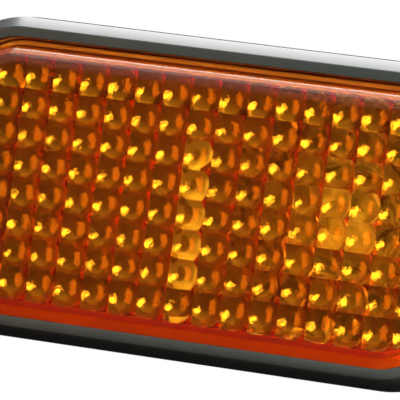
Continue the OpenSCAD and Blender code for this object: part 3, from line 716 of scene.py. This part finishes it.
def silvered_insert():
    mesh = bmesh.new()
    outer_loop = outline_loop(mesh, PAN_GROW, PAN)
    turn = Matrix.Translation((BULB_X, PAN, 0)) @ Matrix.Rotation(math.pi / 2, 4, "X")
    loop = circle(mesh, CIRCLE_STEPS, BOWL_RIM, turn)[1]
    bmesh.ops.triangle_fill(mesh, edges=outer_loop + loop, use_beauty=True)
    for step in range(1, BOWL_RINGS + 1):
        radius = BOWL_RIM + (BULB_HOLE - BOWL_RIM) * step / BOWL_RINGS
        loop = ring_to(mesh, loop, radius, bowl_depth(radius))
    ring_to(mesh, loop, BULB_HOLE, pan_high[1])
    bmesh.ops.recalc_face_normals(mesh, faces=mesh.faces[:])
    if sum(face.normal.y * face.calc_area() for face in mesh.faces) > 0:
        bmesh.ops.reverse_faces(mesh, faces=mesh.faces[:])
    bmesh.ops.solidify(mesh, geom=mesh.faces[:], thickness=SHEET)
    pan_ridge(mesh)
    return finish_piece("silvered_bowl", mesh, vapour_silver(), smooth_below=35)


stands_for(silvered_insert(), "lamp", "reflector")

# %% [markdown]
# The bulb is blown in one: a round dome and body that is pinched flat, while hot, round the
# two wires. A half section is spun once for the outside and once for the inside of the wall,
# and the part below the waist is then squeezed from round to flat, just as the glass was.

# %% Bulb glass
TIP = glass_low[1]
GLASS_RADIUS, GLASS_WALL = 5.0 * MM, 0.6 * MM
WAIST, WEDGE_TOP, WEDGE_END = 13.3 * MM, 17.6 * MM, glass_high[1]
WEDGE_HALF = (4.6 * MM, 1.3 * MM)
END_ROUND, END_SHARE = 0.3 * MM, 0.93
HOLLOW_END = ((1.0, 1.2 * MM), (0.8, 2.2 * MM), (0.0, 2.6 * MM))
DOME_STEPS, PINCH_STEPS, SPIN_STEPS = 14, 10, 64
print("glass", round((WEDGE_END - TIP) / MM, 1), "mm long, pinched from y",
      round(WAIST / MM, 1), "mm")


def dome_section(radius, tip):
    """A quarter of a circle from the tip to the full radius."""
    turns = [math.pi / 2 * step / DOME_STEPS for step in range(DOME_STEPS + 1)]
    return [(radius * math.sin(turn), tip + radius * (1 - math.cos(turn))) for turn in turns]


def spin_section(mesh, section):
    """Spins a half section, given as radius and depth, once round the bulb's axis."""
    verts = [mesh.verts.new((BULB_X + radius, depth, 0)) for radius, depth in section]
    edges = [mesh.edges.new(pair) for pair in zip(verts, verts[1:])]
    bmesh.ops.spin(mesh, geom=verts + edges, cent=(BULB_X, 0, 0), axis=(0, 1, 0),
                   angle=2 * math.pi, steps=SPIN_STEPS, use_merge=True)


def pinch(vert):
    """Squeezes a point from the round section to the flat wedge, smoothly below the waist."""
    share = (vert.co.y - WAIST) / (WEDGE_TOP - WAIST)
    share = max(0.0, min(1.0, share))
    share = share * share * (3 - 2 * share)
    x = vert.co.x - BULB_X
    z = vert.co.z
    vert.co.x = BULB_X + x * (1 + (WEDGE_HALF[0] / GLASS_RADIUS - 1) * share)
    vert.co.z = z * (1 + (WEDGE_HALF[1] / GLASS_RADIUS - 1) * share)


def blown_bulb():
    mesh = bmesh.new()
    outside = dome_section(GLASS_RADIUS, TIP)
    outside += [(GLASS_RADIUS, WAIST + (WEDGE_TOP - WAIST) * step / PINCH_STEPS)
                for step in range(PINCH_STEPS + 1)]
    outside += [(GLASS_RADIUS, WEDGE_END - END_ROUND), (GLASS_RADIUS * END_SHARE, WEDGE_END),
                (0, WEDGE_END)]
    spin_section(mesh, outside)
    wall_radius = GLASS_RADIUS - GLASS_WALL
    inside = dome_section(wall_radius, TIP + GLASS_WALL)
    inside += [(wall_radius * share, WAIST + past) for share, past in HOLLOW_END]
    spin_section(mesh, inside)
    bmesh.ops.remove_doubles(mesh, verts=mesh.verts[:], dist=WELD)
    for vert in mesh.verts:
        pinch(vert)
    return finish_piece("blown_bulb", mesh, blown_glass(), smooth_below=50)


stands_for(blown_bulb(), "holder", "bulb_glass")

# %% [markdown]
# The filament is a real helix. A small circle of wire is spun round the coil's own axis while
# it moves along it, which is what the spin operator's dvec does, and its ends reach the two
# lead wires.

# %% Filament
COIL_RADIUS, WIRE_RADIUS, TURNS = 0.34 * MM, 0.06 * MM, 11
WIRE_SIDES, STEPS_PER_TURN = 8, 20


def coiled_filament():
    mesh = bmesh.new()
    start, end = filament_low[0], filament_high[0]
    length = end - start - 2 * WIRE_RADIUS
    steps = STEPS_PER_TURN * TURNS
    side = Matrix.Translation((start + WIRE_RADIUS, FOCUS - COIL_RADIUS, 0))
    verts, loop = circle(mesh, WIRE_SIDES, WIRE_RADIUS, side)
    bmesh.ops.spin(mesh, geom=verts + loop, cent=(start, FOCUS, 0), axis=(1, 0, 0),
                   dvec=(length / steps, 0, 0), angle=2 * math.pi * TURNS, steps=steps)
    ends = [edge for edge in mesh.edges if edge.is_boundary]
    bmesh.ops.holes_fill(mesh, edges=ends, sides=WIRE_SIDES)
    return finish_piece("coiled_filament", mesh, finishes["tungsten"], smooth_below=60)


stands_for(coiled_filament(), "holder", "bulb_filament")

# %% [markdown]
# The housing, the bulb holder and its seal, the cap, the clip, its screw and the two contacts
# were drawn with sharp edges, which suits the CAD model, but no mould or press leaves one. A
# copy of each is welded, its flat faces are joined again, and a small bevel rounds every
# sharp edge that is long enough for it, wider on plastic and rubber and very narrow on
# sheet metal. The copy then stands for the node.

# %% Parts with rounded edges
FLAT, SHARP = math.radians(1), math.radians(32)
SHORTEST_SHARE = 2.5


def rounded_copy(node, body, slot, width):
    """Puts a copy of a CAD node with its sharp outside edges rounded in its place."""
    source = frame["nodes"][node]
    mesh = bmesh.new()
    mesh.from_mesh(source.data)
    bmesh.ops.transform(mesh, matrix=source.matrix_world, verts=mesh.verts[:])
    bmesh.ops.remove_doubles(mesh, verts=mesh.verts[:], dist=WELD)
    bmesh.ops.dissolve_limit(mesh, angle_limit=FLAT, verts=mesh.verts[:],
                             edges=mesh.edges[:], delimit=set())
    edges = [edge for edge in mesh.edges if len(edge.link_faces) == 2
             and edge.calc_face_angle_signed(0) > SHARP
             and edge.calc_length() > SHORTEST_SHARE * width]
    bmesh.ops.bevel(mesh, geom=edges, offset=width, segments=2, profile=0.5, affect="EDGES",
                    material=-1, clamp_overlap=True, loop_slide=True)
    bmesh.ops.triangulate(mesh, faces=[face for face in mesh.faces if len(face.verts) > 4])
    stands_for(finish_piece(node + "_rounded", mesh, finishes[slot]), body, node)


for node, body, slot, millimetres in (("housing", "lamp", "black_housing", 0.2),
                                      ("bulb_holder", "holder", "pale_holder", 0.18),
                                      ("vent_cap", "lamp", "seal_rubber", 0.2),
                                      ("spring_clip", "lamp", "spring_steel", 0.06),
                                      ("clip_screw", "lamp", "zinc_screw", 0.08),
                                      ("contact_feed", "holder", "contact_brass", 0.05),
                                      ("contact_earth", "holder", "contact_brass", 0.05),
                                      ("holder_seal", "holder", "seal_rubber", 0.15)):
    rounded_copy(node, body, slot, millimetres * MM)

# %% [markdown]
# The photograph was taken with a long lens from the right of the lamp, a little turned. The
# camera is placed by three angles and a distance round the centre of the lens's front. Its
# focal length follows from the scale of the photograph there, and a small shift puts the
# lamp as far off the centre of the frame as in the photograph.

# %% Camera
AZIMUTH, ELEVATION, ROLL = (math.radians(turn) for turn in (19.35, 0.46, 7.5))
DISTANCE = 500 * MM
PIXELS_PER_METRE = 8570
IMAGE = 400
CENTRE = (187.75, 199.4)


def photo_camera():
    """A camera that looks at the centre of the lens's front from its angles and distance."""
    data = bpy.data.cameras.new("photo_camera")
    camera = bpy.data.objects.new("photo_camera", data)
    bpy.context.scene.collection.objects.link(camera)
    bpy.context.scene.camera = camera
    forward = Vector((-math.sin(AZIMUTH) * math.cos(ELEVATION),
                      math.cos(AZIMUTH) * math.cos(ELEVATION), -math.sin(ELEVATION)))
    side = Vector((math.cos(AZIMUTH), math.sin(AZIMUTH), 0))
    up = side.cross(forward)
    right = side * math.cos(ROLL) + up * math.sin(ROLL)
    top = up * math.cos(ROLL) - side * math.sin(ROLL)
    turn = Matrix((right, top, -forward)).transposed().to_4x4()
    turn.translation = Vector((0, FRONT, 0)) - forward * DISTANCE
    camera.matrix_world = turn
    data.sensor_width = 36
    data.lens = PIXELS_PER_METRE * DISTANCE / IMAGE * data.sensor_width
    data.shift_x = (IMAGE / 2 - CENTRE[0]) / IMAGE
    data.shift_y = (CENTRE[1] - IMAGE / 2) / IMAGE
    data.clip_start = 0.01
    print("camera lens", round(data.lens), "mm at", round(DISTANCE / MM), "mm")


photo_camera()

# %% [markdown]
# A studio lights such a lamp with soft boxes and keeps its front dark, because a flat glossy
# lens would mirror anything bright that stands where it faces. A box behind the lamp makes
# the top of the frame bright, and one overhead draws the highlight along the lens's bevel.
# A box on the camera's side, with a small hot core, makes one spark in each pillow, and a
# warm one beyond it fills the left halves of the pillows. A wide dim box on the far side
# lights their right halves orange. Each box is described by how bright it looks, and its
# power follows from its size.

# %% Soft boxes
def soft_box(name, azimuth, elevation, distance, width, height, brightness, roll=0.0,
             tint=(1.0, 1.0, 1.0)):
    """A rectangular lamp that faces the origin. Angles in degrees, lengths in metres."""
    data = bpy.data.lights.new(name, "AREA")
    data.shape = "RECTANGLE"
    data.size, data.size_y = width, height
    data.energy = brightness * math.pi * width * height
    data.color = tint
    box = bpy.data.objects.new(name, data)
    bpy.context.scene.collection.objects.link(box)
    around, above = math.radians(azimuth), math.radians(elevation)
    toward = Vector((math.sin(around) * math.cos(above), -math.cos(around) * math.cos(above),
                     math.sin(above)))
    turn = (-toward).to_track_quat("-Z", "Y").to_matrix() @ Matrix.Rotation(
        math.radians(roll), 3, "Z")
    box.matrix_world = Matrix.Translation(toward * distance) @ turn.to_4x4()
    box.visible_camera = False
    print(name, "gives", round(data.energy, 2), "W")


soft_box("rear_box", 180, 56, 0.45, 0.5, 0.34, 6.5)
soft_box("overhead_box", 0, 88, 0.42, 0.5, 0.3, 1.4)
soft_box("spark_box", 40, 23, 0.28, 0.12, 0.3, 9.0, roll=-50)
soft_box("spark_core", 40, 23, 0.27, 0.045, 0.045, 185.0)
soft_box("fill_box", 66, 36, 0.42, 0.16, 0.5, 3.5, roll=-30, tint=(1.0, 0.8, 0.6))
soft_box("far_side_box", -70, -4, 0.5, 0.86, 0.7, 2.4, tint=(1.0, 0.5, 0.27))

# %% [markdown]
# The background of the photograph is plain white. The world is white to the camera, but it
# lights the lamp only from above. At the lamp's height and below it is nearly black, like the
# dark end of a studio, so the lens keeps its depth. The floor is pale, well below the lamp,
# which is held by the panel it is fixed to. Mirrors see it grey, and towards its rim it fades
# to the white of the background.

# %% World and floor
SKY_LOW, SKY_HIGH, SKY_LIGHT, SKY_DARK = 0.2, 1.0, 0.8, 0.03


def studio_world():
    world = bpy.data.worlds.new("studio")
    bpy.context.scene.world = world
    mix = Recipe(world)
    direction = mix.add("TexCoord", output="Generated")
    above = mix.add("SeparateXYZ", sockets={0: direction}, output="Z")
    rays = mix.add("LightPath", output="Is Camera Ray")
    sky = above.between(SKY_LOW, SKY_HIGH) * SKY_LIGHT + SKY_DARK
    strength = rays + (1 - rays) * sky
    backdrop = mix.add("Background", sockets={"Color": (1, 1, 1, 1), "Strength": strength})
    mix.add("OutputWorld", sockets={"Surface": backdrop})


FLOOR_DEPTH, FLOOR_RADIUS = -0.8, 0.45
FADE_START, FADE_END = FLOOR_RADIUS * 0.45, FLOOR_RADIUS * 0.95


def pale_floor():
    mix = recipe("pale_floor")
    drift = mix.noise(80 * MM, detail=3)
    colour = mix.blend(drift, tone(232, 232, 230), tone(238, 238, 237))
    mirrored = mix.add("LightPath", output="Is Glossy Ray")
    colour = mix.blend(mirrored, colour, tone(70, 70, 70))
    paint = mix.add("BsdfPrincipled", sockets={"Base Color": colour, "Roughness": 0.8,
                                               "Specular IOR Level": 0.2})
    glow = mix.add("Emission", sockets={"Color": (1, 1, 1, 1), "Strength": 1.0})
    from_centre = mix.add("VectorMath", {"operation": "LENGTH"}, {0: mix.place()}, output="Value")
    fade = from_centre.between(FADE_START, FADE_END)
    seen = mix.add("LightPath", output="Is Camera Ray")
    shader = mix.add("MixShader", sockets={0: fade * seen, 1: paint, 2: glow})
    mesh = bmesh.new()
    bmesh.ops.create_circle(mesh, cap_ends=True, segments=96, radius=FLOOR_RADIUS,
                            matrix=Matrix.Translation((0, 0, FLOOR_DEPTH)))
    floor = finish_piece("studio_floor", mesh, mix.surface(shader))


studio_world()
pale_floor()
bpy.context.scene.view_settings.view_transform = "Standard"
